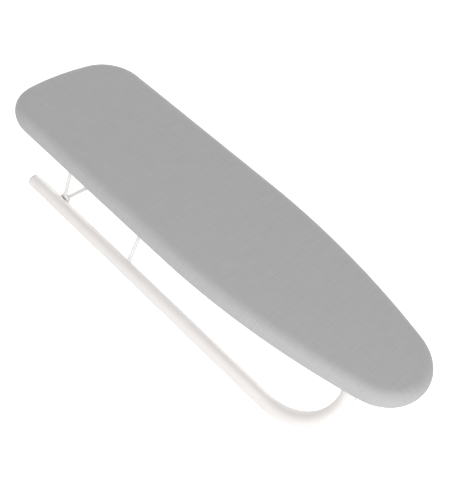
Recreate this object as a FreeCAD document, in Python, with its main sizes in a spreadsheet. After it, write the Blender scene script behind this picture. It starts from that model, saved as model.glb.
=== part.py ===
import FreeCAD, Part
import math
import os
import re
import Sketcher
from FreeCAD import Placement, Rotation, Vector

# Sleeve ironing board, in millimetres. +X points to the rounded nose, +Z up.
# The origin is on the table, under the middle of the board.

dimensions = {
    # board, all round the outside of the cover
    "board_length": 600,
    "board_width": 182,
    "work_height": 140,
    "end_radius": 316,
    "corner_radius": 53,
    "tip_radius": 56.5,
    "taper_start": 4,
    # layers of the board, from the top down
    "cover_thick": 1,
    "felt_thick": 2,
    "foam_thick": 8,
    "plate_thick": 1,
    "rim_depth": 13,
    "foam_side": 4,
    "layer_gap": 0.1,
    "edge_radius": 12,
    "plate_bend": 3,
    "hem_width": 20,
    "elastic_width": 6,
    "elastic_thick": 1,
    # steam holes
    "vent_radius": 2.5,
    "vent_pitch": 20,
    "vent_margin": 24.5,
    "vent_row_gap": 11,
    "vent_setback": 62,
    "vent_reach": 86,
    # bent tube
    "tube_od": 18,
    "tube_wall": 1.2,
    "foot_rise": 1.6,
    "leg_offset": 62,
    "leg_setback": 40,
    "riser_setback": 55,
    "top_bend_radius": 38,
    "loop_offset": 27,
    "loop_gap": 22,
    "cap_flange": 1.5,
    "cap_plug": 12,
    "cap_fit": 0.1,
    # straps that hold the tube's top loop
    "saddle_from_riser": 80,
    "saddle_from_loop": 25,
    "saddle_width": 16,
    "saddle_thick": 1.5,
    "saddle_fit": 0.1,
    "saddle_ear": 14,
    # rail under the rear half of the plate
    "rail_setback": 38,
    "rail_past_strap": 19,
    "rail_width": 36,
    "rail_depth": 10,
    "rail_thick": 1.2,
    "rail_flange": 9,
    # wires
    "wire_od": 5,
    "pin_fit": 0.08,
    "side_play": 0.3,
    "prop_setback": 90,
    "prop_top": 34,
    "prop_bend": 14,
    "sleeve_od": 8,
    "sleeve_length": 42,
    "sleeve_fit": 0.05,
    "retainer_od": 11,
    "retainer_thick": 1,
    "bar_end_gap": 0.8,
    "bar_rivet_od": 3,
    "bar_rivet_head_od": 5.6,
    "bar_rivet_head": 1.3,
    "bow_setback": 226,
    "bow_foot": 55.5,
    "bow_top": 23.5,
    "bow_bend": 12,
    # hook that the prop stands in
    "hook_gap": 0.3,
    "hook_thick": 1.2,
    "hook_width": 18,
    "hook_lip": 6,
    "hook_flange": 20,
    # strap of the bow
    "strap_width": 18,
    "strap_thick": 1.2,
    "strap_ear": 13,
    # fasteners
    "screw_od": 5,
    "screw_head_od": 9.5,
    "screw_head": 3,
    "nut_flats": 8,
    "nut_height": 3.2,
    "small_screw_od": 4,
    "small_head_od": 7.5,
    "small_head": 2.6,
    "small_nut_flats": 7,
    "small_nut_height": 2.8,
    "hole_fit": 0.25,
    "thread_fit": 0.05,
    "screw_over": 0.6,
    "rivet_od": 3.2,
    "rivet_head_od": 6.2,
    "rivet_head": 1.1,
    # rubber pads
    "pad_od": 9,
    "pad_setback": 38.5,
    "pad_from_bend": 44,
}

derived = {
    "half_width": "board_width / 2",
    "tip_centre": "board_length / 2 - tip_radius",
    "foam_top": "work_height - cover_thick - felt_thick",
    "plate_top": "foam_top - foam_thick",
    "plate_under": "plate_top - plate_thick",
    "rim_bottom": "plate_top - rim_depth",
    "hem_top": "rim_bottom - layer_gap",
    "cover_bottom": "hem_top - cover_thick",
    "lining_inset": "cover_thick + layer_gap",
    "plate_inset": "lining_inset + foam_side + layer_gap",
    "felt_inset": "edge_radius + layer_gap",
    "tube_radius": "tube_od / 2",
    "leg_end": "board_length / 2 - leg_setback",
    "riser_reach": "board_length / 2 - riser_setback",
    "prop_place": "board_length / 2 - prop_setback",
    "bow_place": "board_length / 2 - bow_setback",
    "rail_rear": "board_length / 2 - rail_setback",
    "rail_front": "bow_place - strap_reach - rail_past_strap",
    "loop_centre": "loop_gap + tube_radius + loop_offset - rail_front",
    "saddle_front_place": "riser_reach - saddle_from_riser",
    "saddle_rear_place": "loop_centre + saddle_from_loop",
    "pad_rear_place": "leg_end - pad_setback",
    "pad_front_place": "riser_reach - bend_radius - pad_from_bend",
    "leg_height": "foot_rise + tube_radius",
    "loop_height": "plate_under - layer_gap - tube_radius",
    "riser_length": "sqrt((loop_height - leg_height)^2 + (leg_offset - loop_offset)^2)",
    "bend_radius": "riser_length - top_bend_radius",
    "wire_radius": "wire_od / 2",
    "web_under": "plate_under - rail_depth",
    "web_top": "web_under + rail_thick",
    "prop_side": "leg_offset - tube_radius - side_play - wire_radius",
    "prop_bar_height": "web_under - hook_gap - sleeve_od / 2",
    "eye_radius": "wire_radius + pin_fit + wire_radius",
    "bow_bar_height": "web_under - wire_radius - layer_gap",
    "saddle_inner": "tube_radius + saddle_fit",
    "saddle_outer": "saddle_inner + saddle_thick",
    "saddle_reach": "loop_offset + saddle_outer + saddle_ear",
    "saddle_screw": "saddle_reach - saddle_ear / 2",
    "hook_inner": "sleeve_od / 2 + hook_gap",
    "hook_outer": "hook_inner + hook_thick",
    "rivet_place": "prop_place + hook_outer + hook_flange / 2",
    "strap_inner": "wire_radius + saddle_fit",
    "strap_outer": "strap_inner + strap_thick",
    "strap_reach": "strap_outer + strap_ear",
    "strap_screw": "strap_outer + strap_ear / 2",
}

os.makedirs("parts", exist_ok=True)
doc = FreeCAD.newDocument("sleeve_board")
sheet = doc.addObject("Spreadsheet::Sheet", "dims")
for row, (alias, size) in enumerate(dimensions.items(), start=1):
    sheet.set(f"A{row}", alias)
    sheet.set(f"B{row}", str(size))
    sheet.setAlias(f"B{row}", alias)
doc.recompute()


def spelled(text):
    """The expression with derived names written out and sheet aliases prefixed."""
    text = str(text)
    while any(word in derived for word in re.findall(r"[a-z_]+", text)):
        text = re.sub(r"[a-z_]+", lambda m: f"({derived[m[0]]})" if m[0] in derived else m[0], text)
    return re.sub(r"[a-z_]+", lambda m: f"dims.{m[0]}" if m[0] in dimensions else m[0], text)


def value(text):
    return float(sheet.evalExpression(spelled(text)))


def tie(item, **sizes):
    """Binds properties of an object to the sheet."""
    for name, text in sizes.items():
        item.setExpression(name, spelled(text))


def place(item, x=0, y=0, z=0, turn=None):
    """Turns an object, then binds where it stands to the sheet."""
    if turn:
        item.Placement = Placement(Vector(), turn)
    for axis, text in (("x", x), ("y", y), ("z", z)):
        item.setExpression(f"Placement.Base.{axis}", spelled(text))
    return item


along_x = Rotation(Vector(0, 1, 0), 90)
along_y = Rotation(Vector(1, 0, 0), -90)


def block(label, x, y, z):
    """A box between two places on each axis."""
    box = doc.addObject("Part::Box", label)
    tie(box, Length=f"({x[1]}) - ({x[0]})", Width=f"({y[1]}) - ({y[0]})", Height=f"({z[1]}) - ({z[0]})")
    return place(box, x[0], y[0], z[0])


def rod(label, radius, length, x=0, y=0, z=0, turn=None):
    """A cylinder that starts at a place and runs along +Z, or as turned."""
    cylinder = doc.addObject("Part::Cylinder", label)
    tie(cylinder, Radius=radius, Height=length)
    return place(cylinder, x, y, z, turn)


def cut(label, base, tool):
    item = doc.addObject("Part::Cut", label)
    item.Base = base
    item.Tool = tool
    return item


def fuse(label, shapes):
    item = doc.addObject("Part::MultiFuse", label)
    item.Shapes = shapes
    return item


def group(label, shapes):
    item = doc.addObject("Part::Compound", label)
    item.Links = shapes
    return item


def body(label):
    item = doc.addObject("PartDesign::Body", label)
    item.Label = label
    return item


def plane(item, role):
    return next(o for o in item.Origin.OriginFeatures if o.Role == role)


def sketch_on(item, name, role, height="0"):
    sketch = item.newObject("Sketcher::SketchObject", name)
    sketch.AttachmentSupport = [(plane(item, role), "")]
    sketch.MapMode = "FlatFace"
    sketch.setExpression("AttachmentOffset.Base.z", spelled(height))
    return sketch


def hold(sketch, name, text, *constraint):
    """Adds a dimension to a sketch and binds it to the sheet."""
    index = sketch.addConstraint(Sketcher.Constraint(*constraint, value(text)))
    sketch.renameConstraint(index, name)
    sketch.setExpression(f"Constraints.{name}", spelled(text))


def arc(centre, radius, start, end):
    circle = Part.Circle(Vector(*centre, 0), Vector(0, 0, 1), radius)
    return Part.ArcOfCircle(circle, start, end)


def board_outline(sketch, inset, tag="edge"):
    """The board's outline, drawn in by inset: bowed end, corners, straight sides, side arcs, tip."""
    width, corner, tip = value("half_width"), value("corner_radius"), value("tip_radius")
    tip_x, taper_x, drawn_in = value("tip_centre"), value("taper_start"), value(inset)
    bow = value("end_radius")
    end_x = value("end_radius - board_length / 2")
    corner_y = width - corner
    corner_x = end_x - math.sqrt((bow - corner) ** 2 - corner_y**2)
    reach = tip_x - taper_x
    side = (reach**2 + width**2 - tip**2) / (2 * (width - tip))
    side_y = width - side
    corner_turn = math.atan2(corner_y, corner_x - end_x)
    side_turn = math.atan2(-side_y, reach)
    edge_y = width - drawn_in
    quarter, whole = math.pi / 2, 2 * math.pi
    shapes = [
        arc((end_x, 0), bow - drawn_in, corner_turn, whole - corner_turn),
        arc((corner_x, corner_y), corner - drawn_in, quarter, corner_turn),
        Part.LineSegment(Vector(taper_x, edge_y, 0), Vector(corner_x, edge_y, 0)),
        arc((taper_x, side_y), side - drawn_in, side_turn, quarter),
        arc((tip_x, 0), tip - drawn_in, -side_turn, side_turn),
        arc((taper_x, -side_y), side - drawn_in, 3 * quarter, whole - side_turn),
        Part.LineSegment(Vector(corner_x, -edge_y, 0), Vector(taper_x, -edge_y, 0)),
        arc((corner_x, -corner_y), corner - drawn_in, whole - corner_turn, 3 * quarter),
    ]
    end, corner_up, line_up, side_up, nose, side_low, line_low, corner_low = [
        sketch.addGeometry(shape, False) for shape in shapes
    ]
    first, last, centre = 1, 2, 3
    joins = [
        (corner_up, last, end, first),
        (line_up, last, corner_up, first),
        (side_up, last, line_up, first),
        (nose, last, side_up, first),
        (side_low, last, nose, first),
        (line_low, last, side_low, first),
        (corner_low, last, line_low, first),
        (end, last, corner_low, first),
    ]
    for join in joins:
        sketch.addConstraint(Sketcher.Constraint("Tangent", *join))
    for line in (line_up, line_low):
        sketch.addConstraint(Sketcher.Constraint("Horizontal", line))
    for round_end in (end, nose):
        sketch.addConstraint(Sketcher.Constraint("PointOnObject", round_end, centre, -1))
    drawn = f"({inset})"
    hold(sketch, f"{tag}_end", f"end_radius - {drawn}", "Radius", end)
    hold(sketch, f"{tag}_corner_up", f"corner_radius - {drawn}", "Radius", corner_up)
    hold(sketch, f"{tag}_corner_low", f"corner_radius - {drawn}", "Radius", corner_low)
    hold(sketch, f"{tag}_tip", f"tip_radius - {drawn}", "Radius", nose)
    hold(sketch, f"{tag}_tip_place", "tip_centre", "DistanceX", -1, 1, nose, centre)
    length = "board_length - end_radius - tip_radius"
    hold(sketch, f"{tag}_length", length, "DistanceX", end, centre, nose, centre)
    hold(sketch, f"{tag}_side_up", f"half_width - {drawn}", "DistanceY", -1, 1, line_up, first)
    hold(sketch, f"{tag}_side_low", f"half_width - {drawn}", "DistanceY", line_low, first, -1, 1)
    straight = "tip_centre - taper_start"
    hold(sketch, f"{tag}_straight_up", straight, "DistanceX", line_up, first, nose, centre)
    hold(sketch, f"{tag}_straight_low", straight, "DistanceX", line_low, last, nose, centre)


def layer(label, insets, bottom, top, rounding=None):
    """A flat layer with the board's outline; a second inset makes it a ring. Its top edge may be rounded."""
    item = body(label)
    sketch = sketch_on(item, f"{label}_outline", "XY_Plane", bottom)
    for number, inset in enumerate(insets):
        board_outline(sketch, inset, f"edge{number}")
    pad = item.newObject("PartDesign::Pad", f"{label}_pad")
    pad.Profile = sketch
    tie(pad, Length=f"({top}) - ({bottom})")
    doc.recompute()
    if rounding:
        level = value(top)
        edges = [
            f"Edge{n}"
            for n, edge in enumerate(pad.Shape.Edges, start=1)
            if all(abs(v.Z - level) < 1e-4 for v in edge.Vertexes)
        ]
        fillet = item.newObject("PartDesign::Fillet", f"{label}_round")
        fillet.Base = (pad, edges)
        tie(fillet, Radius=rounding)
    return item


def bent_path(label, corners, radii):
    """Straight runs between corners, joined by tangent arcs of the given radii."""
    points = [Vector(*corner) for corner in corners]
    edges = []
    start = points[0]
    for before, corner, after, radius in zip(points, points[1:], points[2:], radii):
        into = (corner - before).normalize()
        out = (after - corner).normalize()
        half_turn = into.getAngle(out) / 2
        trim = radius * math.tan(half_turn)
        first, last = corner - into * trim, corner + out * trim
        inward = (out - into).normalize()
        middle = corner + inward * (radius / math.cos(half_turn) - radius)
        if (first - start).Length > 1e-6:
            edges.append(Part.makeLine(start, first))
        edges.append(Part.Arc(first, middle, last).toShape())
        start = last
    edges.append(Part.makeLine(start, points[-1]))
    item = doc.addObject("Part::Feature", label)
    item.Shape = Part.Wire(edges)
    return item


def swept(label, path, radius):
    """A round bar along a path, its radius bound to the sheet."""
    circle = doc.addObject("Part::Circle", f"{label}_section")
    tie(circle, Radius=radius)
    edge = path.Shape.Edges[0]
    start = edge.valueAt(edge.FirstParameter)
    direction = edge.tangentAt(edge.FirstParameter)
    circle.Placement = Placement(start, Rotation(Vector(0, 0, 1), direction))
    sweep = doc.addObject("Part::Sweep", label)
    sweep.Sections = [circle]
    sweep.Spine = (path, [f"Edge{n}" for n in range(1, len(path.Shape.Edges) + 1)])
    sweep.Solid = True
    sweep.Frenet = False
    return sweep


# ---- bent tube: two legs on the table, two risers at the nose, one loop under the plate

leg_y, leg_z = value("leg_offset"), value("leg_height")
loop_y, loop_z = value("loop_offset"), value("loop_height")
leg_end_x, riser_x = -value("leg_end"), value("riser_reach")
loop_x = value("loop_centre - loop_offset")
low_bend, top_bend = value("bend_radius"), value("top_bend_radius")
tube_path = bent_path(
    "tube_path",
    [
        (leg_end_x, -leg_y, leg_z),
        (riser_x, -leg_y, leg_z),
        (riser_x, -loop_y, loop_z),
        (loop_x, -loop_y, loop_z),
        (loop_x, loop_y, loop_z),
        (riser_x, loop_y, loop_z),
        (riser_x, leg_y, leg_z),
        (leg_end_x, leg_y, leg_z),
    ],
    [low_bend, top_bend, loop_y, loop_y, top_bend, low_bend],
)
tube_outside = swept("tube_outside", tube_path, "tube_radius")
tube_inside = swept("tube_inside", tube_path, "tube_radius - tube_wall")
tube_hollow = cut("tube_hollow", tube_outside, tube_inside)
leg_sides = (("right", "-leg_offset"), ("left", "leg_offset"))
bar_holes = [
    rod("bar_hole", "wire_radius + thread_fit", "2 * leg_offset", "-prop_place", "-leg_offset",
        "leg_height", along_y)
] + [
    rod(f"bar_rivet_hole_{side}", "bar_rivet_od / 2 + thread_fit", "tube_od", "-prop_place", y, "leg_height")
    for side, y in leg_sides
]
frame_tube = cut("frame_tube", tube_hollow, fuse("bar_hole_group", bar_holes))


def legs_solid(label):
    """Both straight legs as plain bars, to trim what sits on them."""
    bars = [
        rod(f"{label}_{side}", "tube_radius", "leg_end + riser_reach", "-leg_end", y, "leg_height", along_x)
        for side, y in leg_sides
    ]
    return fuse(label, bars)


# ---- caps in the open ends of the legs


def end_cap(label, side):
    item = body(label)
    sketch = sketch_on(item, f"{label}_profile", "XZ_Plane")
    flange, plug = value("cap_flange"), value("cap_plug")
    rim, bore = value("tube_radius"), value("tube_radius - tube_wall - cap_fit")
    corners = [(-flange, 0), (-flange, rim - flange), (0, rim), (0, bore), (plug, bore), (plug, 0)]
    for n, (start, end) in enumerate(zip(corners, corners[1:] + corners[:1])):
        if n == 1:
            circle = Part.Circle(Vector(0, rim - flange, 0), Vector(0, 0, 1), flange)
            sketch.addGeometry(Part.ArcOfCircle(circle, math.pi / 2, math.pi), False)
        else:
            sketch.addGeometry(Part.LineSegment(Vector(*start, 0), Vector(*end, 0)), False)
    face, edge, step, wall, inner, axis = range(6)
    point = Sketcher.Constraint
    sketch.addConstraint(point("Tangent", face, 2, edge, 2))
    sketch.addConstraint(point("Coincident", edge, 1, step, 1))
    for a, b in ((step, wall), (wall, inner), (inner, axis), (axis, face)):
        sketch.addConstraint(point("Coincident", a, 2, b, 1))
    for line in (face, step, inner):
        sketch.addConstraint(point("Vertical", line))
    sketch.addConstraint(point("Horizontal", wall))
    sketch.addConstraint(point("PointOnObject", axis, 1, -1))
    sketch.addConstraint(point("PointOnObject", axis, 2, -1))
    sketch.addConstraint(point("PointOnObject", step, 1, -2))
    sketch.addConstraint(point("PointOnObject", edge, 3, -2))
    hold(sketch, "flange", "cap_flange", "Radius", edge)
    hold(sketch, "rim", "tube_radius", "DistanceY", -1, 1, step, 1)
    hold(sketch, "plug", "cap_plug", "DistanceX", -1, 1, inner, 1)
    hold(sketch, "bore", "tube_radius - tube_wall - cap_fit", "DistanceY", -1, 1, wall, 1)
    turn = item.newObject("PartDesign::Revolution", f"{label}_turn")
    turn.Profile = sketch
    turn.ReferenceAxis = (sketch, ["H_Axis"])
    turn.Angle = 360
    return place(item, "-leg_end", side, "leg_height")


end_cap_right = end_cap("end_cap_right", "-leg_offset")
end_cap_left = end_cap("end_cap_left", "leg_offset")

# ---- board layers

plate_form = layer("plate_form", ["plate_inset"], "rim_bottom", "plate_top", "plate_bend")
plate_hollow = layer(
    "plate_hollow", ["plate_inset + plate_thick"], "rim_bottom - plate_thick", "plate_under",
    "plate_bend - plate_thick",
)
plate_tray = cut("plate_tray", plate_form, plate_hollow)

vent_start = "-board_length / 2 + vent_setback"
vents_long = int(value(f"(taper_start + vent_reach - ({vent_start})) / vent_pitch")) + 1
vents_short = int(value(f"(-bow_place - ({vent_start})) / vent_pitch")) + 1
vents = []
for side in (-1, 1):
    for row, count in enumerate((vents_long, vents_long, vents_short)):
        for n in range(count):
            shift = f"vent_pitch / 2 * {row % 2}"
            vents.append(rod(
                f"vent_{len(vents)}", "vent_radius", "3 * plate_thick",
                f"{vent_start} + vent_pitch * {n} + {shift}",
                f"{side} * (half_width - vent_margin - {row} * vent_row_gap)",
                "plate_under - plate_thick",
            ))

saddle_spots = [
    (x, y)
    for x in ("saddle_front_place", "saddle_rear_place")
    for y in ("-saddle_screw", "0", "saddle_screw")
]
plate_screw_holes = [
    rod(f"plate_hole_{n}", "screw_od / 2 + hole_fit", "3 * plate_thick", x, y, "plate_under - plate_thick")
    for n, (x, y) in enumerate(saddle_spots)
]
board_plate = cut("board_plate", plate_tray, fuse("plate_holes", vents + plate_screw_holes))

foam_form = layer("foam_form", ["lining_inset"], "rim_bottom", "foam_top", "edge_radius - 3 * cover_thick")
foam_hollow = layer(
    "foam_hollow", ["plate_inset - layer_gap"], "rim_bottom - foam_side", "plate_top", "plate_bend"
)
nut_wells = [
    rod(f"nut_well_{n}", "nut_flats * 0.6 + layer_gap", "nut_height + 2 * screw_over", x, y, "plate_top")
    for n, (x, y) in enumerate(saddle_spots)
]
foam_pad = cut("foam_pad", foam_form, fuse("foam_room", [foam_hollow] + nut_wells))

felt_layer = layer("felt_layer", ["felt_inset"], "foam_top", "work_height - cover_thick")

cover_form = layer("cover_form", ["0"], "cover_bottom", "work_height", "edge_radius")
cover_room = layer(
    "cover_room", ["cover_thick"], "hem_top", "work_height - cover_thick", "edge_radius - cover_thick"
)
hem_opening = layer("hem_opening", ["hem_width"], "cover_bottom - cover_thick", "rim_bottom")
cover = cut("cover", cover_form, fuse("cover_inside", [cover_room, hem_opening]))

hem_elastic = layer(
    "hem_elastic", ["hem_width - elastic_width", "hem_width - layer_gap"],
    "hem_top", "hem_top + elastic_thick",
)

# ---- rail under the rear half

rail_x = ("-rail_rear", "-rail_front")
rail_channel = block(
    "rail_channel", rail_x, ("-rail_width / 2", "rail_width / 2"), ("web_under", "plate_under")
)
rail_reach = "rail_width / 2 + rail_flange"
rail_flanges = block(
    "rail_flanges", rail_x, (f"-({rail_reach})", rail_reach), ("plate_under - rail_thick", "plate_under")
)
rail_room = block(
    "rail_room", ("-rail_rear - rail_thick", "-rail_front + rail_thick"),
    ("rail_thick - rail_width / 2", "rail_width / 2 - rail_thick"), ("web_top", "plate_under + rail_thick"),
)
bow_spots = [("-bow_place - strap_screw", "0"), ("-bow_place + strap_screw", "0")]
rivet_spots = [("-rivet_place", "-hook_width / 4"), ("-rivet_place", "hook_width / 4")]
rail_holes = [
    rod(f"rail_hole_{n}", radius, "3 * rail_thick", x, y, "web_under - rail_thick")
    for n, (radius, (x, y)) in enumerate(
        [("small_screw_od / 2 + hole_fit", spot) for spot in bow_spots]
        + [("rivet_od / 2 + thread_fit", spot) for spot in rivet_spots]
    )
]
rear_rail = cut(
    "rear_rail",
    cut("rail_hat", fuse("rail_blank", [rail_channel, rail_flanges]), rail_room),
    fuse("rail_hole_group", rail_holes),
)

# ---- straps over the top loop


def saddle(label, place_x):
    span = (f"{place_x} - saddle_width / 2", f"{place_x} + saddle_width / 2")
    wide = (f"{place_x} - saddle_width", f"{place_x} + saddle_width")
    outer = [block(f"{label}_bar", span, ("-saddle_reach", "saddle_reach"),
                   ("plate_under - saddle_thick", "plate_under"))]
    inner = []
    for side, y in (("right", "-loop_offset"), ("left", "loop_offset")):
        outer.append(block(f"{label}_wall_{side}", span, (f"{y} - saddle_outer", f"{y} + saddle_outer"),
                           ("loop_height", "plate_under")))
        outer.append(rod(f"{label}_hump_{side}", "saddle_outer", "saddle_width",
                         span[0], y, "loop_height", along_x))
        inner.append(block(f"{label}_slot_{side}", wide, (f"{y} - saddle_inner", f"{y} + saddle_inner"),
                           ("loop_height", "plate_under + saddle_thick")))
        inner.append(block(f"{label}_over_{side}", wide, (f"{y} - saddle_outer", f"{y} + saddle_outer"),
                           ("plate_under", "plate_under + 2 * saddle_thick")))
        inner.append(rod(f"{label}_bore_{side}", "saddle_inner", "2 * saddle_width",
                         wide[0], y, "loop_height", along_x))
    for n, y in enumerate(("-saddle_screw", "0", "saddle_screw")):
        inner.append(rod(f"{label}_hole_{n}", "screw_od / 2 + hole_fit", "3 * saddle_thick",
                         place_x, y, "plate_under - 2 * saddle_thick"))
    return cut(label, fuse(f"{label}_blank", outer), fuse(f"{label}_room", inner))


saddle_front = saddle("saddle_front", "saddle_front_place")
saddle_rear = saddle("saddle_rear", "saddle_rear_place")

# ---- fasteners


def screw(label, x, y, seat, diameter, head_diameter, head, length):
    """A pan head screw that points up, its head under the seat height, with a cross recess."""
    shank = rod(f"{label}_shank", f"({diameter}) / 2", length, x, y, seat)
    rim = rod(f"{label}_rim", f"({head_diameter}) / 2", f"({head}) / 2", x, y, f"({seat}) - ({head}) / 2")
    crown = doc.addObject("Part::Cone", f"{label}_crown")
    tie(crown, Radius1=f"({head_diameter}) * 0.3", Radius2=f"({head_diameter}) / 2", Height=f"({head}) / 2")
    place(crown, x, y, f"({seat}) - ({head})")
    low = (f"({seat}) - 1.1 * ({head})", f"({seat}) - 0.4 * ({head})")
    arm, slot = f"({head_diameter}) * 0.22", f"({head_diameter}) * 0.06"
    recess = fuse(f"{label}_recess", [
        block(f"{label}_slot_x", (f"{x} - {arm}", f"{x} + {arm}"), (f"{y} - {slot}", f"{y} + {slot}"), low),
        block(f"{label}_slot_y", (f"{x} - {slot}", f"{x} + {slot}"), (f"{y} - {arm}", f"{y} + {arm}"), low),
    ])
    return cut(label, fuse(f"{label}_blank", [shank, rim, crown]), recess)


def nut(label, x, y, bottom, flats, height, bore):
    """A hexagon nut, flat on its seat."""
    prism = doc.addObject("Part::Prism", f"{label}_hexagon")
    prism.Polygon = 6
    tie(prism, Circumradius=f"({flats}) / sqrt(3)", Height=height)
    place(prism, x, y, bottom)
    hole = rod(f"{label}_bore", bore, f"3 * ({height})", x, y, f"({bottom}) - ({height})")
    return cut(label, prism, hole)


saddle_screws = group("saddle_screws", [
    screw(f"saddle_screw_{n}", x, y, "plate_under - saddle_thick", "screw_od", "screw_head_od", "screw_head",
          "saddle_thick + plate_thick + nut_height + screw_over")
    for n, (x, y) in enumerate(saddle_spots)
])
saddle_nuts = group("saddle_nuts", [
    nut(f"saddle_nut_{n}", x, y, "plate_top", "nut_flats", "nut_height", "screw_od / 2 + thread_fit")
    for n, (x, y) in enumerate(saddle_spots)
])
bow_screws = group("bow_screws", [
    screw(f"bow_screw_{n}", x, y, "web_under - strap_thick", "small_screw_od", "small_head_od", "small_head",
          "strap_thick + rail_thick + small_nut_height + screw_over")
    for n, (x, y) in enumerate(bow_spots)
])
bow_nuts = group("bow_nuts", [
    nut(f"bow_nut_{n}", x, y, "web_top", "small_nut_flats", "small_nut_height",
        "small_screw_od / 2 + thread_fit")
    for n, (x, y) in enumerate(bow_spots)
])


def rivet(label, x, y):
    seat = "web_under - hook_thick"
    return fuse(label, [
        rod(f"{label}_shank", "rivet_od / 2", "hook_thick + rail_thick + rivet_head", x, y, seat),
        rod(f"{label}_head", "rivet_head_od / 2", "rivet_head", x, y, f"{seat} - rivet_head"),
        rod(f"{label}_tail", "rivet_head_od * 0.45", "rivet_head", x, y, "web_top"),
    ])


hook_rivets = group("hook_rivets", [rivet(f"hook_rivet_{n}", x, y) for n, (x, y) in enumerate(rivet_spots)])

# ---- hook under the rail that the prop's top bar stands in: open towards the nose

hook_y = ("-hook_width / 2", "hook_width / 2")
past_hook_y = ("-hook_width", "hook_width")
hook_seat = block("hook_seat", ("-prop_place - hook_outer - hook_flange", "-prop_place - hook_inner"), hook_y,
                  ("web_under - hook_thick", "web_under"))
hook_wall = block("hook_wall", ("-prop_place - hook_outer", "-prop_place - hook_inner"), hook_y,
                  ("prop_bar_height", "web_under"))
hook_jaw = block("hook_jaw", ("-prop_place", "-prop_place + hook_lip"), hook_y,
                 ("prop_bar_height - hook_outer", "prop_bar_height - hook_inner"))
hook_round = rod(
    "hook_round", "hook_outer", "hook_width", "-prop_place", hook_y[0], "prop_bar_height", along_y
)
hook_hollow = rod(
    "hook_hollow", "hook_inner", "2 * hook_width", "-prop_place", past_hook_y[0], "prop_bar_height", along_y
)
hook_mouth = block("hook_mouth", ("-prop_place", "-prop_place + hook_outer + hook_lip"), past_hook_y,
                   ("prop_bar_height - hook_inner", "web_under + hook_thick"))
hook_over = block("hook_over", ("-prop_place - hook_inner", "-prop_place + hook_outer"), past_hook_y,
                  ("prop_bar_height", "web_under + hook_thick"))
hook_bend = cut("hook_bend", hook_round, fuse("hook_room", [hook_hollow, hook_mouth, hook_over]))
hook_blank = fuse("hook_blank", [hook_seat, hook_wall, hook_jaw, hook_bend])
hook_holes = [
    rod(f"hook_hole_{n}", "rivet_od / 2 + thread_fit", "3 * hook_thick", x, y, "web_under - 2 * hook_thick")
    for n, (x, y) in enumerate(rivet_spots)
]
prop_hook = cut("prop_hook", hook_blank, fuse("hook_hole_group", hook_holes))

# ---- cross bar between the legs, held by a rivet through the top of each, and push-on rings for the prop

bar_half = "leg_offset + tube_radius - tube_wall - bar_end_gap"
cross_bar = cut(
    "cross_bar",
    rod("bar_round", "wire_radius", f"2 * ({bar_half})", "-prop_place", f"-({bar_half})",
        "leg_height", along_y),
    fuse("bar_bores", [
        rod(f"bar_bore_{side}", "bar_rivet_od / 2 + thread_fit", "2 * wire_od", "-prop_place", y,
            "leg_height - wire_od")
        for side, y in leg_sides
    ]),
)

dome_radius = "(bar_rivet_head_od^2 / 4 + bar_rivet_head^2) / (2 * bar_rivet_head)"
leg_bars = legs_solid("rivet_trim")
bar_rivets = []
for side, y in leg_sides:
    dome = doc.addObject("Part::Sphere", f"rivet_dome_{side}")
    tie(dome, Radius=dome_radius, Angle1=f"asin(1 - bar_rivet_head / ({dome_radius}))")
    place(dome, "-prop_place", y, f"leg_height + tube_radius + bar_rivet_head - ({dome_radius})")
    shank = rod(f"rivet_shank_{side}", "bar_rivet_od / 2", "tube_radius + wire_radius + bar_rivet_head / 2",
                "-prop_place", y, "leg_height - wire_radius")
    bar_rivets.append(fuse(f"bar_rivet_{side}", [cut(f"rivet_head_{side}", dome, leg_bars), shank]))
bar_rivets = group("bar_rivets", bar_rivets)

retainer_inner = "prop_side - wire_radius - side_play"
retainers = []
for side, y in (("left", f"{retainer_inner} - retainer_thick"), ("right", f"-({retainer_inner})")):
    ring = rod(f"ring_{side}", "retainer_od / 2", "retainer_thick", "-prop_place", y, "leg_height", along_y)
    bore = rod(f"ring_bore_{side}", "wire_radius + thread_fit", "3 * retainer_thick", "-prop_place",
               f"{y} - retainer_thick", "leg_height", along_y)
    retainers.append(cut(f"retainer_{side}", ring, bore))
bar_retainers = group("bar_retainers", retainers)

# ---- prop: a wire that turns on the cross bar by an eye at each foot, with a sleeve on its top bar

prop_x, prop_y = -value("prop_place"), value("prop_side")
eye_top = leg_z + value("eye_radius")
bar_z = value("prop_bar_height")
prop_path = bent_path(
    "prop_path",
    [
        (prop_x, -prop_y, eye_top),
        (prop_x, -value("prop_top"), bar_z),
        (prop_x, value("prop_top"), bar_z),
        (prop_x, prop_y, eye_top),
    ],
    [value("prop_bend")] * 2,
)
eyes = []
for side, y in (("left", "prop_side"), ("right", "-prop_side")):
    eye = doc.addObject("Part::Torus", f"eye_{side}")
    tie(eye, Radius1="eye_radius", Radius2="wire_radius")
    eyes.append(place(eye, "-prop_place", y, "leg_height", along_y))
prop_wire = fuse("prop_wire", [swept("prop_bar", prop_path, "wire_radius")] + eyes)
sleeve_half = "sleeve_length / 2"
prop_sleeve = cut(
    "prop_sleeve",
    rod("sleeve_outside", "sleeve_od / 2", "sleeve_length", "-prop_place", f"-{sleeve_half}",
        "prop_bar_height", along_y),
    rod("sleeve_bore", "wire_radius + sleeve_fit", "2 * sleeve_length", "-prop_place", "-sleeve_length",
        "prop_bar_height", along_y),
)

# ---- bow: a wire whose feet stand on the legs and whose top bar is strapped to the rail

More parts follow.
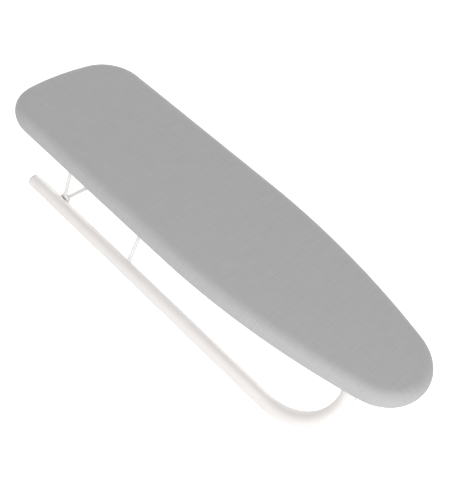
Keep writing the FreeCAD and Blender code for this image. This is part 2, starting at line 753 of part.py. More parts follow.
bow_x, bow_z = -value("bow_place"), value("bow_bar_height")
foot_z = leg_z + math.sqrt(value("tube_radius") ** 2 - (leg_y - value("bow_foot")) ** 2)
lean = (value("bow_foot - bow_top")) / (bow_z - foot_z)
foot_inside = value("wire_radius")
foot_y = value("bow_foot") + lean * foot_inside
bow_path = bent_path(
    "bow_path",
    [
        (bow_x, -foot_y, foot_z - foot_inside),
        (bow_x, -value("bow_top"), bow_z),
        (bow_x, value("bow_top"), bow_z),
        (bow_x, foot_y, foot_z - foot_inside),
    ],
    [value("bow_bend")] * 2,
)
brace_bow = cut("brace_bow", swept("bow_bar", bow_path, "wire_radius"), legs_solid("leg_trim"))

strap_y = ("-strap_width / 2", "strap_width / 2")
past_strap_y = ("-strap_width", "strap_width")
strap_blank = fuse("strap_blank", [
    block("strap_bar", ("-bow_place - strap_reach", "-bow_place + strap_reach"), strap_y,
          ("web_under - strap_thick", "web_under")),
    block("strap_wall", ("-bow_place - strap_outer", "-bow_place + strap_outer"), strap_y,
          ("bow_bar_height", "web_under")),
    rod("strap_hump", "strap_outer", "strap_width", "-bow_place", strap_y[0], "bow_bar_height", along_y),
])
strap_room = fuse("strap_room", [
    block("strap_slot", ("-bow_place - strap_inner", "-bow_place + strap_inner"), past_strap_y,
          ("bow_bar_height", "web_under + strap_thick")),
    block("strap_over", ("-bow_place - strap_outer", "-bow_place + strap_outer"), past_strap_y,
          ("web_under", "web_under + 2 * strap_thick")),
    rod("strap_bore", "strap_inner", "2 * strap_width", "-bow_place", past_strap_y[0],
        "bow_bar_height", along_y),
] + [
    rod(f"strap_hole_{n}", "small_screw_od / 2 + hole_fit", "3 * strap_thick",
        x, y, "web_under - 2 * strap_thick")
    for n, (x, y) in enumerate(bow_spots)
])
bow_strap = cut("bow_strap", strap_blank, strap_room)

# ---- rubber pads under the legs, hollowed to the tube


def foot_pad(label, x, y):
    wide_x = (f"({x}) - pad_od", f"({x}) + pad_od")
    wide_y = (f"({y}) - pad_od", f"({y}) + pad_od")
    disc = rod(f"{label}_disc", "pad_od / 2", "leg_height", x, y, "0")
    tube = rod(f"{label}_seat", "tube_radius", "2 * pad_od", wide_x[0], y, "leg_height", along_x)
    upper = block(f"{label}_upper", wide_x, wide_y, ("foot_rise + pad_od / 6", "2 * leg_height"))
    return cut(label, disc, fuse(f"{label}_room", [tube, upper]))


foot_pads = group("foot_pads", [
    foot_pad(f"foot_pad_{side}_{end}", x, y)
    for side, y in leg_sides
    for end, x in (("rear", "-pad_rear_place"), ("front", "pad_front_place"))
])

# ---- check and write

nodes = [
    frame_tube, end_cap_right, end_cap_left, board_plate, rear_rail, foam_pad, felt_layer, cover, hem_elastic,
    saddle_front, saddle_rear, saddle_screws, saddle_nuts, cross_bar, bar_rivets, bar_retainers, prop_wire,
    prop_sleeve, prop_hook, hook_rivets, brace_bow, bow_strap, bow_screws, bow_nuts, foot_pads,
]
doc.recompute()
for item in doc.Objects:
    if "Invalid" in item.State or "Error" in item.State:
        raise RuntimeError(f"{item.Label}: {item.State}")
for node in nodes:
    shape = node.Shape
    if shape.isNull() or not shape.isValid() or not shape.Solids:
        raise RuntimeError(f"{node.Label}: no valid solid")
for node in nodes:
    node.Shape.exportStep(f"parts/{node.Label}.step")
    size = node.Shape.BoundBox
    print(f"{node.Label:16s} solids {len(node.Shape.Solids):2d}  volume {node.Shape.Volume:10.0f}  "
          f"z {size.ZMin:7.2f} {size.ZMax:7.2f}")
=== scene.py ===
import math

import bpy
from mathutils import Matrix, Vector, noise


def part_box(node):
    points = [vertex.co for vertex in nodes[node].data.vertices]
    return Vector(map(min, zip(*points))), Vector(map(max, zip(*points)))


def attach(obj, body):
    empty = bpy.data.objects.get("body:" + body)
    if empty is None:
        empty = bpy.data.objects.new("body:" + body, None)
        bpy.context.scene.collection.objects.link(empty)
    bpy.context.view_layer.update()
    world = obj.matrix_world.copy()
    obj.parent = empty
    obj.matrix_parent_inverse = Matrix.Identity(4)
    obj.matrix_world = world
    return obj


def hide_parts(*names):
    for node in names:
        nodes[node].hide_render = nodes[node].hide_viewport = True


# Sleeve ironing board: +X runs to the rounded nose, +Z up, metres throughout.

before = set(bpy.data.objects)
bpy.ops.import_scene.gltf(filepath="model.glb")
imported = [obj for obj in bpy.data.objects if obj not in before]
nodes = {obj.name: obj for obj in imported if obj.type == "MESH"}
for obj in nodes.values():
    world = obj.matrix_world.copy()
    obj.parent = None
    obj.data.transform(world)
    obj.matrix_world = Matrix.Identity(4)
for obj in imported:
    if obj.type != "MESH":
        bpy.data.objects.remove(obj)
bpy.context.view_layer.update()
print("frame loaded:", len(nodes), "nodes")

mm = 0.001
weldGap = 0.02 * mm  # points nearer than this are one point


def clearSelection():
    for other in bpy.context.selected_objects:
        other.select_set(False)


# materials: procedural, one to each finish

def linear(hexColour):
    # an sRGB colour as the linear values that a shader takes
    parts = [int(hexColour[i:i + 2], 16) / 255 for i in (1, 3, 5)]
    return tuple(c / 12.92 if c <= 0.04045 else ((c + 0.055) / 1.055) ** 2.4 for c in parts) + (1.0,)


def addNode(tree, kind, settings=None, links=None):
    node = tree.nodes.new(kind)
    for key, value in (settings or {}).items():
        if isinstance(key, int) or key in node.inputs:
            node.inputs[key].default_value = value
        else:
            setattr(node, key, value)
    for key, socket in (links or {}).items():
        tree.links.new(socket, node.inputs[key])
    return node


def startMaterial(name, surface):
    material = bpy.data.materials.new(name)
    material.use_nodes = True
    tree = material.node_tree
    shader = tree.nodes["Principled BSDF"]
    for key, value in surface.items():
        shader.inputs[key].default_value = value
    material.diffuse_color = surface.get("Base Color", (0.5, 0.5, 0.5, 1))
    return material, tree, shader


def tintBetween(tree, factor, darkHex, lightHex):
    mix = addNode(tree, "ShaderNodeMix", {"data_type": "RGBA"}, {0: factor})
    mix.inputs[6].default_value = linear(darkHex)
    mix.inputs[7].default_value = linear(lightHex)
    return mix.outputs[2]


def addNoise(tree, size, detail, stretch=(1, 1, 1)):
    # cloudy pattern fixed to the piece, its patches of a size in millimetres
    place = addNode(tree, "ShaderNodeTexCoord")
    scaled = addNode(tree, "ShaderNodeMapping", {"Scale": stretch}, {"Vector": place.outputs["Object"]})
    return addNode(tree, "ShaderNodeTexNoise", {"Scale": 1 / (size * mm), "Detail": detail},
                   {"Vector": scaled.outputs[0]}).outputs["Fac"]


def addRelief(tree, shader, height, strength, depth):
    bump = addNode(tree, "ShaderNodeBump", {"Strength": strength, "Distance": depth * mm}, {"Height": height})
    tree.links.new(bump.outputs[0], shader.inputs["Normal"])


def wovenCotton():
    # plain-weave cotton: dull, no highlight, a faint bloom of fibres at grazing angles
    cloth = dict(dark="#A3A3A3", light="#AAAAAA", threadPitch=1.1, slubLength=38, slubWidth=1.9,
                 slubLow=0.7, slubHigh=1.3, slubRelief=0.35, strength=0.35, relief=0.15)
    material, tree, shader = startMaterial("wovenCottonGrey", {
        "Roughness": 0.93, "IOR": 1.45, "Sheen Weight": 0.12, "Sheen Roughness": 0.55,
        "Specular IOR Level": 0.25})
    cut = addNode(tree, "ShaderNodeUVMap", {"uv_map": "flatCut"}).outputs["UV"]  # the flat cut, in metres
    axes = addNode(tree, "ShaderNodeSeparateXYZ", {}, {"Vector": cut})
    # the real thread is about 0.4 mm, so it is drawn coarser here to show in the render
    turns = math.pi / (cloth["threadPitch"] * mm)
    waves = []
    for axis in ("X", "Y"):
        angle = addNode(tree, "ShaderNodeMath", {"operation": "MULTIPLY", 1: turns}, {0: axes.outputs[axis]})
        waves.append(addNode(tree, "ShaderNodeMath", {"operation": "SINE"}, {0: angle.outputs[0]}).outputs[0])
    over = addNode(tree, "ShaderNodeMath", {"operation": "MULTIPLY"}, {0: waves[0], 1: waves[1]})
    crossing = addNode(tree, "ShaderNodeMath", {"operation": "ABSOLUTE"}, {0: over.outputs[0]})
    slubs = []
    along, across = 1 / (cloth["slubLength"] * mm), 1 / (cloth["slubWidth"] * mm)
    for stretch in ((along, across, 1), (across, along, 1)):
        place = addNode(tree, "ShaderNodeMapping", {"Scale": stretch}, {"Vector": cut})
        noisy = addNode(tree, "ShaderNodeTexNoise", {"Scale": 1, "Detail": 2}, {"Vector": place.outputs[0]})
        slubs.append(noisy.outputs["Fac"])
    slub = addNode(tree, "ShaderNodeMath", {"operation": "ADD"}, {0: slubs[0], 1: slubs[1]})
    shade = addNode(tree, "ShaderNodeMapRange",
                    {"From Min": cloth["slubLow"], "From Max": cloth["slubHigh"]}, {"Value": slub.outputs[0]})
    tint = tintBetween(tree, shade.outputs[0], cloth["dark"], cloth["light"])
    tree.links.new(tint, shader.inputs["Base Color"])
    height = addNode(tree, "ShaderNodeMath", {"operation": "MULTIPLY_ADD", 1: cloth["slubRelief"]},
                     {0: slub.outputs[0], 2: crossing.outputs[0]})
    addRelief(tree, shader, height.outputs[0], cloth["strength"], cloth["relief"])
    return material


def powderCoat(name, darkHex, lightHex, grain=1.6, roughness=0.36):
    # polyester powder, baked: semi-gloss, with a slow orange-peel ripple
    coat = dict(cloud=28, sharper=0.05, duller=0.07, strength=0.25, depth=0.06)
    material, tree, shader = startMaterial(name, {"Roughness": roughness, "IOR": 1.5})
    cloud = addNoise(tree, coat["cloud"], detail=2.0)
    tree.links.new(tintBetween(tree, cloud, darkHex, lightHex), shader.inputs["Base Color"])
    dull = addNode(tree, "ShaderNodeMapRange",
                   {"To Min": roughness - coat["sharper"], "To Max": roughness + coat["duller"]},
                   {"Value": cloud})
    tree.links.new(dull.outputs[0], shader.inputs["Roughness"])
    addRelief(tree, shader, addNoise(tree, grain, detail=1.5), coat["strength"], coat["depth"])
    return material


def zincPlate():
    # bright zinc plate: bluish grey metal, softly cloudy, fine rolling lines under the plate
    material, tree, shader = startMaterial("zincPlatedSteel", {"Metallic": 1.0, "Roughness": 0.38})
    plate = dict(cloud=6, line=4, draw=18, sharp=0.28, dull=0.5, strength=0.15, depth=0.03)
    cloud = addNoise(tree, plate["cloud"], detail=4.0)
    tree.links.new(tintBetween(tree, cloud, "#A9ACB0", "#C9CBCC"), shader.inputs["Base Color"])
    lines = addNoise(tree, plate["line"], detail=3.0, stretch=(1, plate["draw"], plate["draw"]))
    dull = addNode(tree, "ShaderNodeMapRange", {"To Min": plate["sharp"], "To Max": plate["dull"]},
                   {"Value": lines})
    tree.links.new(dull.outputs[0], shader.inputs["Roughness"])
    addRelief(tree, shader, lines, plate["strength"], plate["depth"])
    return material


def mouldedPlastic(name, darkHex, lightHex, roughness, grain=0.6):
    # polyethylene from a spark-eroded mould: waxy, with a fine even grain
    material, tree, shader = startMaterial(name, {"Roughness": roughness, "IOR": 1.51})
    grains = addNoise(tree, grain, detail=2.0)
    tree.links.new(tintBetween(tree, grains, darkHex, lightHex), shader.inputs["Base Color"])
    addRelief(tree, shader, grains, strength=0.3, depth=0.05)
    return material


def mattedFibre(name, darkHex, lightHex, fibre, depth):
    # felt, foam and elastic: light caught in a tangle of fibres or cells
    material, tree, shader = startMaterial(name, {
        "Roughness": 0.95, "IOR": 1.45, "Sheen Weight": 0.2, "Sheen Roughness": 0.6})
    place = addNode(tree, "ShaderNodeTexCoord")
    cells = addNode(tree, "ShaderNodeTexVoronoi", {"Scale": 1 / (fibre * mm)},
                    {"Vector": place.outputs["Object"]})
    tint = tintBetween(tree, cells.outputs["Distance"], darkHex, lightHex)
    tree.links.new(tint, shader.inputs["Base Color"])
    addRelief(tree, shader, cells.outputs["Distance"], strength=0.5, depth=depth)
    return material


cotton = wovenCotton()
tubeCoat = powderCoat("powderCoatOffWhite", "#D8D4D2", "#DDDAD8")
wireCoat = powderCoat("powderCoatWire", "#DAD8D6", "#E0DEDC", grain=1.0, roughness=0.33)
plateCoat = powderCoat("powderCoatLightGrey", "#CFCECB", "#D9D8D5", grain=2.0, roughness=0.48)
zinc = zincPlate()
capPlastic = mouldedPlastic("polyethyleneDarkGrey", "#4B4C4F", "#58595C", 0.5)
sleevePlastic = mouldedPlastic("polyethyleneOffWhite", "#CFCDC9", "#D8D6D2", 0.42)
padRubber = mouldedPlastic("softRubberOffWhite", "#D3D1CC", "#DDDBD7", 0.72, grain=0.4)
felt = mattedFibre("needledFelt", "#CFCBC2", "#E2DED6", 0.9, 0.3)
foam = mattedFibre("openCellFoam", "#D9D2B6", "#E9E3CC", 1.1, 0.4)
elastic = mattedFibre("knittedElastic", "#7E7E7E", "#989898", 0.8, 0.25)
thread = mattedFibre("polyesterThread", "#9B9B9B", "#B4B4B4", 0.35, 0.08)

finishes = {
    "frame_tube": tubeCoat, "end_cap_right": capPlastic, "end_cap_left": capPlastic,
    "board_plate": plateCoat, "rear_rail": plateCoat, "saddle_front": zinc, "saddle_rear": zinc,
    "saddle_screws": zinc, "saddle_nuts": zinc,
    "cross_bar": wireCoat, "bar_rivets": tubeCoat, "bar_retainers": wireCoat,
    "prop_wire": wireCoat, "prop_sleeve": sleevePlastic, "prop_hook": zinc, "hook_rivets": zinc,
    "brace_bow": wireCoat, "bow_strap": zinc, "bow_screws": zinc, "bow_nuts": zinc, "foot_pads": padRubber,
    "cover": cotton, "felt_layer": felt, "foam_pad": foam, "hem_elastic": elastic,
}
for name, material in finishes.items():
    nodes[name].data.materials.clear()
    nodes[name].data.materials.append(material)
print("materials on", len(finishes), "nodes")


# the board's outline, shared by the cloth, the felt, the foam and the elastic

boardShape = dict(endRadius=316 * mm, cornerRadius=53 * mm, tipRadius=56.5 * mm, taperStart=4 * mm,
                  evenDepth=34 * mm, spineRear=-232 * mm)
lowCorner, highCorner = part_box("cover")
halfLength, halfWidth, boardTop, boardBottom = highCorner[0], highCorner[1], highCorner[2], lowCorner[2]


def arcPoints(centre, radius, start, end, spacing):
    steps = max(2, math.ceil(abs(end - start) * radius / spacing))
    turns = [start + (end - start) * i / steps for i in range(steps)]
    return [(Vector((centre[0] + radius * math.cos(t), centre[1] + radius * math.sin(t))),
             Vector((-math.cos(t), -math.sin(t)))) for t in turns]


def outlineColumns(spacing):
    # points round the board with the direction that leads inward, nose last on each half
    bow, corner, tip = boardShape["endRadius"], boardShape["cornerRadius"], boardShape["tipRadius"]
    taper, tipX, endX = boardShape["taperStart"], halfLength - tip, bow - halfLength
    cornerY = halfWidth - corner
    cornerX = endX - math.sqrt((bow - corner) ** 2 - cornerY ** 2)
    reach = tipX - taper
    side = (reach ** 2 + halfWidth ** 2 - tip ** 2) / (2 * (halfWidth - tip))
    cornerTurn, sideTurn = math.atan2(cornerY, cornerX - endX), math.atan2(side - halfWidth, reach)
    half = arcPoints((endX, 0), bow, math.pi, cornerTurn, spacing)
    half += arcPoints((cornerX, cornerY), corner, cornerTurn, math.pi / 2, spacing)
    steps = math.ceil((taper - cornerX) / spacing)
    for i in range(steps):
        half.append((Vector((cornerX + (taper - cornerX) * i / steps, halfWidth)), Vector((0, -1))))
    half += arcPoints((taper, halfWidth - side), side, math.pi / 2, sideTurn, spacing)
    half += arcPoints((tipX, 0), tip, sideTurn, 0, spacing)
    half.append((Vector((halfLength, 0)), Vector((-1, 0))))
    mirrored = [(Vector((p.x, -p.y)), Vector((n.x, -n.y))) for p, n in reversed(half[1:-1])]
    return half + mirrored


def drawnIn(column, inset):
    # even offset near the edge, then a fan on to the board's middle line
    point, inward = column
    deep = boardShape["evenDepth"]
    if inset <= deep:
        return point + inward * inset
    start = point + inward * deep
    middle = Vector((min(max(start.x, boardShape["spineRear"]), halfLength - boardShape["tipRadius"]), 0))
    return start.lerp(middle, (inset - deep) / (halfWidth - deep))


def ringMesh(name, columns, rings, closed=False, cuts=None):
    # rings of points, one point to a column, skinned with quads
    count = len(columns)
    points = [p for ring in rings for p in ring]
    pairs = list(zip(range(len(rings)), range(1, len(rings))))
    if closed:
        pairs.append((len(rings) - 1, 0))
    faces = [(a * count + c, b * count + c, b * count + (c + 1) % count, a * count + (c + 1) % count)
             for a, b in pairs for c in range(count)]
    mesh = bpy.data.meshes.new(name)
    mesh.from_pydata(points, [], faces)
    if cuts:
        flat = [uv for ring in cuts for uv in ring]
        layer = mesh.uv_layers.new(name="flatCut")
        for loop in mesh.loops:
            layer.data[loop.index].uv = flat[loop.vertex_index]
    piece = bpy.data.objects.new(name, mesh)
    bpy.context.scene.collection.objects.link(piece)
    clearSelection()
    piece.select_set(True)
    bpy.context.view_layer.objects.active = piece
    bpy.ops.object.mode_set(mode="EDIT")
    bpy.ops.mesh.select_all(action="SELECT")
    bpy.ops.mesh.remove_doubles(threshold=weldGap)
    bpy.ops.mesh.normals_make_consistent(inside=False)
    bpy.ops.object.mode_set(mode="OBJECT")
    bpy.ops.object.shade_smooth()
    return piece


def applyModifier(piece, kind, **settings):
    modifier = piece.modifiers.new(kind.lower(), kind)
    for key, value in settings.items():
        setattr(modifier, key, value)
    bpy.context.view_layer.objects.active = piece
    bpy.ops.object.modifier_apply(modifier=modifier.name)


# cover: one cotton cut drawn over the edge and gathered by the elastic underneath

coverSizes = dict(spacing=2.0 * mm, cloth=0.5 * mm, crown=0.7 * mm, lowReach=7 * mm, casing=8 * mm,
                  casingHeight=2.2 * mm, hem=20 * mm, pleat=11 * mm, pleatDepth=1.5 * mm, edgeShare=0.5,
                  topRings=18, edgeRings=18, hemRings=5, foldRings=6, casingRings=3)
# pleats wander and come in patches; a finer set lies over them; they stand off further than they sink
gatherSizes = dict(wanderSpan=31 * mm, wander=4.4, fine=0.57, fineShare=0.45, patchSpan=47 * mm,
                   patchLevel=0.7, patchRange=0.6, sink=0.4, drop=0.7, sideways=0.5, start=0.62)


def gatherAt(walk, share):
    # how far the cloth stands off where it is drawn up by the elastic, at a distance round the board
    size, pleat = gatherSizes, coverSizes["pleat"]
    wander = noise.noise(Vector((walk / size["wanderSpan"], 0.3, 0))) * size["wander"]
    wave = math.sin(2 * math.pi * walk / pleat + wander)
    wave += size["fineShare"] * math.sin(2 * math.pi * walk / (pleat * size["fine"]) + 2 * wander + 1)
    patch = size["patchLevel"] + size["patchRange"] * noise.noise(Vector((walk / size["patchSpan"], 5.1, 0)))
    return share * patch * coverSizes["pleatDepth"] * wave


def fallOf(gather):
    return max(gather, -gatherSizes["sink"] * coverSizes["pleatDepth"]) * gatherSizes["drop"]


def distancesRound(columns):
    walked = [0.0]
    for (a, _), (b, _) in zip(columns, columns[1:]):
        walked.append(walked[-1] + (b - a).length)
    return walked


def makeCover():
    size = coverSizes
    columns = outlineColumns(size["spacing"])
    edge = (boardTop - boardBottom) / 2
    middle = (boardTop + boardBottom) / 2
    low, fold = size["lowReach"], size["casingHeight"] / 2
    profile = []  # inset, height, share of the gathers
    for i in range(size["topRings"]):
        inset = halfWidth + (edge - halfWidth) * i / size["topRings"]
        profile.append((inset, boardTop - size["crown"] * (1 - (inset - edge) / (halfWidth - edge)) ** 2, 0))
    for i in range(size["edgeRings"] + 1):
        turn = math.pi * i / size["edgeRings"]
        reach = edge if math.cos(turn) > 0 else low  # squarer below, where the plate's rim fills it
        gathered = max(0, (turn / math.pi - gatherSizes["start"]) / (1 - gatherSizes["start"]))
        fall = size["crown"] * (1 + math.cos(turn)) / 2
        profile.append((reach * (1 - math.sin(turn)), middle + edge * math.cos(turn) - fall,
                        gathered * size["edgeShare"]))
    for i in range(1, size["hemRings"] + 1):
        way = i / size["hemRings"]
        share = size["edgeShare"] + (1 - size["edgeShare"]) * way
        profile.append((low + (size["hem"] - fold - low) * way, boardBottom, share))
    for i in range(1, size["foldRings"] + 1):
        turn = math.pi * i / size["foldRings"]
        inset = size["hem"] - fold + fold * math.sin(turn)
        profile.append((inset, boardBottom + fold - fold * math.cos(turn), 1))
    for i in range(1, size["casingRings"] + 1):
        inset = size["hem"] - fold - (size["casing"] - fold) * i / size["casingRings"]
        profile.append((inset, boardBottom + 2 * fold, 1))
    walked = distancesRound(columns)
    rings, cuts, along = [], [], 0  # along is the cloth's way from the board's edge
    for number, (inset, height, share) in enumerate(profile):
        if number > size["topRings"]:
            before = profile[number - 1]
            along += math.hypot(inset - before[0], height - before[1])
        ring, cut = [], []
        for column, walk in zip(columns, walked):
            gather = gatherAt(walk, share)
            spot = drawnIn(column, inset) + column[1] * gather * gatherSizes["sideways"]
            ring.append(Vector((spot.x, spot.y, height - fallOf(gather))))
            cut.append(drawnIn(column, max(inset, edge) if not along else edge) - column[1] * along)
        rings.append(ring)
        cuts.append(cut)
    cover = ringMesh("coverCloth", columns, rings, cuts=cuts)
    cover.data.materials.append(cotton)
    applyModifier(cover, "SOLIDIFY", thickness=size["cloth"], offset=-1.0)
    bpy.ops.object.shade_smooth()
    flatArea = sum(cutArea(cuts[i], cuts[i + 1]) for i in range(len(cuts) - 1))
    flatWidth = 2 * (halfWidth - edge + along)
    flatLength = 2 * (halfLength - edge + along)
    return cover, (flatWidth, flatLength), flatArea


def cutArea(inner, outer):
    area = 0
    count = len(inner)
    for c in range(count):
        a, b, d, e = inner[c], inner[(c + 1) % count], outer[(c + 1) % count], outer[c]
        area += abs((b - a).cross(d - a)) / 2 + abs((d - a).cross(e - a)) / 2
    return area


coverCloth, coverFlat, coverArea = makeCover()
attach(coverCloth, "base")
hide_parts("cover")
print("cover cut", [round(x, 3) for x in coverFlat], "area", round(coverArea, 4))


# foam pad: wraps the plate's rim, swells a little against the cover

foamSizes = dict(spacing=3.5 * mm, slack=0.7 * mm, wallGap=0.2 * mm, seatGap=0.3 * mm, seat=3 * mm,
                 topEase=2 * mm, wallLow=0.4, pressure=4.0, frames=20, cap=0.6 * mm, flatRings=12,
                 edgeRings=10)
softCorner = 0.3  # how far in a corner's middle point lies, as a share of the corner


def swell(piece, pressure, frames, cap):
    # inflates a closed pad, with no point moving further than the cap
    rest = [v.co.copy() for v in piece.data.vertices]
    scene = bpy.context.scene
    scene.frame_start, scene.frame_end = 1, frames
    cloth = piece.modifiers.new("cloth", "CLOTH")
    cloth.settings.use_pressure = True
    cloth.settings.uniform_pressure_force = pressure
    cloth.settings.effector_weights.gravity = 0
    cloth.settings.quality = 4
    cloth.point_cache.frame_end = frames
    for step in range(1, frames + 1):
        scene.frame_set(step)
    bpy.context.view_layer.objects.active = piece
    bpy.ops.object.modifier_apply(modifier=cloth.name)
    for vertex, start in zip(piece.data.vertices, rest):
        move = vertex.co - start
        if move.length > cap:
            vertex.co = start + move * (cap / move.length)
    scene.frame_set(1)


def flatProfile(start, end, height, steps):
    # level run from one inset to another
    return [(start + (end - start) * i / steps, height) for i in range(steps + 1)]


def levelRings(columns, profile):
    # one ring round the board to each inset and height
    return [[Vector((*drawnIn(column, inset), height)) for column in columns] for inset, height in profile]


def makeFoam():
    size = foamSizes
    columns = outlineColumns(size["spacing"])
    padTop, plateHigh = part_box("foam_pad")[1][2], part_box("board_plate")[1]
    rim = highCorner[0] - plateHigh[0]
    edge = (boardTop - boardBottom) / 2
    middle = (boardTop + boardBottom) / 2
    reach = edge - coverSizes["cloth"] - size["slack"]  # radius of the foam's rounded edge
    topTurn = math.asin((padTop - middle) / reach)
    wall = rim - size["wallGap"]
    lowTurn = -math.acos((edge - wall) / reach)
    under, seat = plateHigh[2] + size["seatGap"], size["seat"]
    flatFrom = edge + size["topEase"]
    profile = flatProfile(halfWidth, flatFrom, padTop, size["flatRings"])
    for i in range(size["edgeRings"] + 1):
        turn = topTurn + (lowTurn - topTurn) * i / size["edgeRings"]
        profile.append((edge - reach * math.cos(turn), middle + reach * math.sin(turn)))
    profile += [(wall, middle - reach * size["wallLow"]), (wall, under - seat)]
    profile += [(wall + seat * softCorner, under - seat * softCorner)]
    profile += flatProfile(wall + seat, halfWidth, under, size["flatRings"])
    pad = ringMesh("foamPad", columns, levelRings(columns, profile))
    pad.data.materials.append(foam)
    swell(pad, size["pressure"], size["frames"], size["cap"])
    return pad


foamPad = makeFoam()
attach(foamPad, "base")
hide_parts("foam_pad")
print("foam pad in place")


# felt laid on the foam, and the elastic in the hem's casing

layerSizes = dict(spacing=4 * mm, roundOver=0.7 * mm, flatRings=12, tapeGap=0.35 * mm, tapeEdge=0.12 * mm)


def makeFelt():
    columns = outlineColumns(layerSizes["spacing"])
    lowest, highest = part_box("felt_layer")
    inset = highCorner[0] - highest[0]
    soft, steps = layerSizes["roundOver"], layerSizes["flatRings"]
    near = soft * softCorner
    profile = flatProfile(halfWidth, inset + soft, highest[2], steps)
    profile += [(inset + near, highest[2] - near), (inset, highest[2] - soft)]
    profile += [(inset, lowest[2] + soft), (inset + near, lowest[2] + near)]
    profile += flatProfile(inset + soft, halfWidth, lowest[2], steps)
    sheet = ringMesh("feltSheet", columns, levelRings(columns, profile))
    sheet.data.materials.append(felt)
    outer = [drawnIn(column, inset) for column in columns]
    area = abs(sum(a.cross(b) for a, b in zip(outer, outer[1:] + outer[:1]))) / 2
    return sheet, (2 * (halfWidth - inset), 2 * (halfLength - inset)), area


def makeElastic():
    columns = outlineColumns(coverSizes["spacing"])
    gap = layerSizes["tapeGap"]
    outer = highCorner[0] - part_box("hem_elastic")[1][0]
    inner = coverSizes["hem"] - 2 * coverSizes["cloth"] - gap
    low = boardBottom + coverSizes["cloth"] + gap
    high = boardBottom + coverSizes["casingHeight"] - coverSizes["cloth"] - gap
    corners = [(outer, low), (inner, low), (inner, high), (outer, high)]
    tape = ringMesh("hemElastic", columns, levelRings(columns, corners), closed=True)
    tape.data.materials.append(elastic)
    applyModifier(tape, "BEVEL", width=layerSizes["tapeEdge"], segments=2, limit_method="ANGLE")
    return tape


feltSheet, feltFlat, feltArea = makeFelt()
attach(feltSheet, "base")
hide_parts("felt_layer")

hemElastic = makeElastic()
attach(hemElastic, "base")
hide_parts("hem_elastic")
print("felt and elastic in place")


# stitches: one row of lockstitch holds the casing shut

stitchSizes = dict(pitch=3.2 * mm, length=2.5 * mm, thread=0.5 * mm, inset=12.9 * mm, share=0.55,
                   proud=0.1 * mm, sides=6, roundOver=0.3, creaseAngle=50)


def makeStitches():
    size = stitchSizes
    clearSelection()
    bpy.ops.mesh.primitive_cylinder_add(vertices=size["sides"], radius=size["thread"] / 2,
                                        depth=size["length"], rotation=(0, math.pi / 2, 0))
    stitch = bpy.context.object
    bpy.ops.object.transform_apply(location=True, rotation=True, scale=True)
    bpy.ops.object.mode_set(mode="EDIT")
    bpy.ops.mesh.select_all(action="SELECT")
    bpy.ops.mesh.bevel(offset=size["thread"] * size["roundOver"], segments=1, affect="EDGES")
    bpy.ops.object.mode_set(mode="OBJECT")
    points = [v.co.copy() for v in stitch.data.vertices]
    faces = [tuple(f.vertices) for f in stitch.data.polygons]
    bpy.data.objects.remove(stitch)
    columns = outlineColumns(coverSizes["spacing"])
    walked = distancesRound(columns)
    allPoints, allFaces = [], []
    due = 0
    for (column, after), walk in zip(zip(columns, columns[1:] + columns[:1]), walked):
        if walk < due:
            continue
        due = walk + size["pitch"]
        here, there = drawnIn(column, size["inset"]), drawnIn(after, size["inset"])
        gather = gatherAt(walk, size["share"])
        spot = here + column[1] * gather * gatherSizes["sideways"]
        turn = Matrix.Rotation(math.atan2(there.y - here.y, there.x - here.x), 4, "Z")
        place = Matrix.Translation((spot.x, spot.y, boardBottom - fallOf(gather) - size["proud"])) @ turn
        first = len(allPoints)
        allPoints += [place @ p for p in points]
        allFaces += [tuple(first + i for i in face) for face in faces]
    mesh = bpy.data.meshes.new("hemStitches")
    mesh.from_pydata(allPoints, [], allFaces)
    row = bpy.data.objects.new("hemStitches", mesh)
    bpy.context.scene.collection.objects.link(row)
    row.data.materials.append(thread)
    clearSelection()
    row.select_set(True)
    bpy.context.view_layer.objects.active = row
    bpy.ops.object.shade_smooth_by_angle(angle=math.radians(size["creaseAngle"]))
    return row


hemStitches = makeStitches()
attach(hemStitches, "base")
print("hem stitched")


# weld beads where the bow's feet stand on the legs

# footIn runs from the bow's widest point in to the middle of its foot, flat is a bead's height to its width
beadSizes = dict(ring=3.0 * mm, bead=0.95 * mm, flat=0.8, footIn=2.1 * mm, ripple=0.12, pools=7,
                 rounds=28, section=10)


def makeBead(name, side):
    size = beadSizes
    clearSelection()
    legLow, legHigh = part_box("cross_bar")  # level with the legs' axis
    bowLow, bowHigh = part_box("brace_bow")
    capLow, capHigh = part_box("end_cap_left")
    tubeRadius = (capHigh[2] - capLow[2]) / 2
    axisHeight = (legLow[2] + legHigh[2]) / 2
    axisY = side * (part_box("frame_tube")[1][1] - tubeRadius)
    footY = side * (bowHigh[1] - size["footIn"])
    up = Vector((0, footY - axisY, math.sqrt(tubeRadius ** 2 - (footY - axisY) ** 2))).normalized()
    bpy.ops.mesh.primitive_torus_add(major_radius=size["ring"], minor_radius=size["bead"],
                                     major_segments=size["rounds"], minor_segments=size["section"])
    bead = bpy.context.object
    bead.name = name
    bead.data.name = name
    across = Vector((1, 0, 0)).cross(up)
    place = Matrix((Vector((1, 0, 0)), -across, up)).transposed().to_4x4()
    place.translation = Vector(((bowLow[0] + bowHigh[0]) / 2, axisY, axisHeight)) + up * tubeRadius
    for vertex in bead.data.vertices:
        offset = vertex.co.y
        around = math.atan2(vertex.co.y, vertex.co.x)
        ripple = 1 + size["ripple"] * math.sin(size["pools"] * around)  # the welder's overlapping pools
        sag = tubeRadius - math.sqrt(tubeRadius ** 2 - offset ** 2)
        vertex.co = place @ Vector((vertex.co.x, offset, vertex.co.z * size["flat"] * ripple - sag))
    bead.data.materials.append(wireCoat)
    bpy.ops.object.mode_set(mode="EDIT")
    bpy.ops.mesh.select_all(action="SELECT")
    bpy.ops.mesh.normals_make_consistent(inside=False)
    bpy.ops.object.mode_set(mode="OBJECT")
    bpy.ops.object.shade_smooth()
    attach(bead, "base")


for name, side in (("weldBeadRight", -1), ("weldBeadLeft", 1)):
    makeBead(name, side)
print("weld beads laid")


# studio: a white floor, a soft dome and five lamps

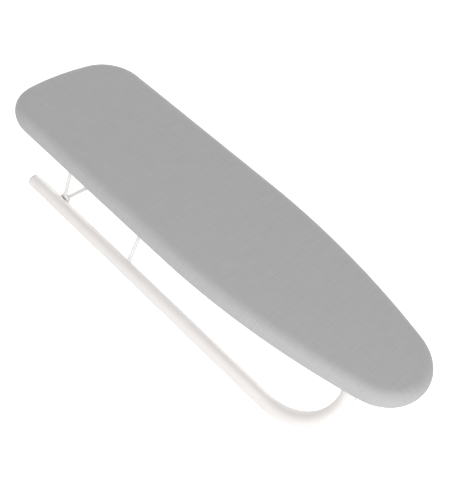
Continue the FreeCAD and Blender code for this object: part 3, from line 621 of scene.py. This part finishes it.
studio = dict(floorSize=6, azimuth=32.857, elevation=46.44, roll=16.168, place=(0.36237, -0.5133, 0.7399),
              focal=54.91, filmHeight=36, nearest=0.01, bounce=0.34, seen=0.75, dome=0.45, backdrop=0.96)


def makeGlow(tree, socket, given, seen):
    # one strength for the light that a backdrop gives, another for how bright it looks
    ray = addNode(tree, "ShaderNodeLightPath")
    glow = addNode(tree, "ShaderNodeMapRange", {"To Min": given, "To Max": seen},
                   {"Value": ray.outputs["Is Camera Ray"]})
    tree.links.new(glow.outputs[0], socket)


def makeStudio():
    size = studio
    clearSelection()
    bpy.ops.mesh.primitive_plane_add(size=size["floorSize"], location=(0, 0, 0))
    floor = bpy.context.object
    floor.name = "studioFloor"
    # matt white card, seen a little brighter than the light it gives back, so that shadows stay pale
    material, tree, shader = startMaterial("whiteCard", {
        "Base Color": linear("#D8D8D8"), "Roughness": 0.9, "Emission Color": (1, 1, 1, 1)})
    makeGlow(tree, shader.inputs["Emission Strength"], size["bounce"], size["seen"])
    floor.data.materials.append(material)
    world = bpy.data.worlds.new("softDome")
    bpy.context.scene.world = world
    world.use_nodes = True
    sky = world.node_tree.nodes["Background"]
    sky.inputs["Color"].default_value = (1, 1, 1, 1)
    makeGlow(world.node_tree, sky.inputs["Strength"], size["dome"], size["backdrop"])
    lamps = [  # name, place, aim, width, power; low lamps from behind light the legs past the board
        ("frontSoftbox", (0.35, -1.25, 1.35), (0, 0, 0.05), 1.2, 16.6),
        ("noseSoftbox", (1.5, -0.55, 0.5), (0.2, 0, 0.1), 1.0, 13.0),
        ("lowSoftbox", (-0.8, -1.5, 0.45), (-0.1, 0, 0.08), 1.0, 2.3),
        ("legSoftbox", (-0.1, 1.3, 0.16), (0, -0.05, 0.02), 0.6, 9.0),
        ("endSoftbox", (-1.3, 0.9, 0.3), (-0.05, -0.05, 0.02), 1.0, 13.0),
    ]
    for name, spot, aim, width, power in lamps:
        lamp = bpy.data.lights.new(name, "AREA")
        lamp.size = width
        lamp.energy = power
        holder = bpy.data.objects.new(name, lamp)
        bpy.context.scene.collection.objects.link(holder)
        holder.location = spot
        holder.visible_camera = False
        holder.rotation_euler = (Vector(aim) - Vector(spot)).to_track_quat("-Z", "Y").to_euler()
    lens = bpy.data.cameras.new("studioCamera")
    lens.sensor_fit = "VERTICAL"
    lens.sensor_height = size["filmHeight"]
    lens.lens = size["focal"]
    lens.clip_start = size["nearest"]
    camera = bpy.data.objects.new("studioCamera", lens)
    bpy.context.scene.collection.objects.link(camera)
    turn = (Matrix.Rotation(math.radians(size["azimuth"]), 4, "Z")
            @ Matrix.Rotation(math.radians(90 - size["elevation"]), 4, "X")
            @ Matrix.Rotation(math.radians(size["roll"]), 4, "Z"))
    camera.matrix_world = Matrix.Translation(size["place"]) @ turn
    bpy.context.scene.camera = camera
    bpy.context.scene.view_settings.view_transform = "Standard"


makeStudio()
print("studio ready")
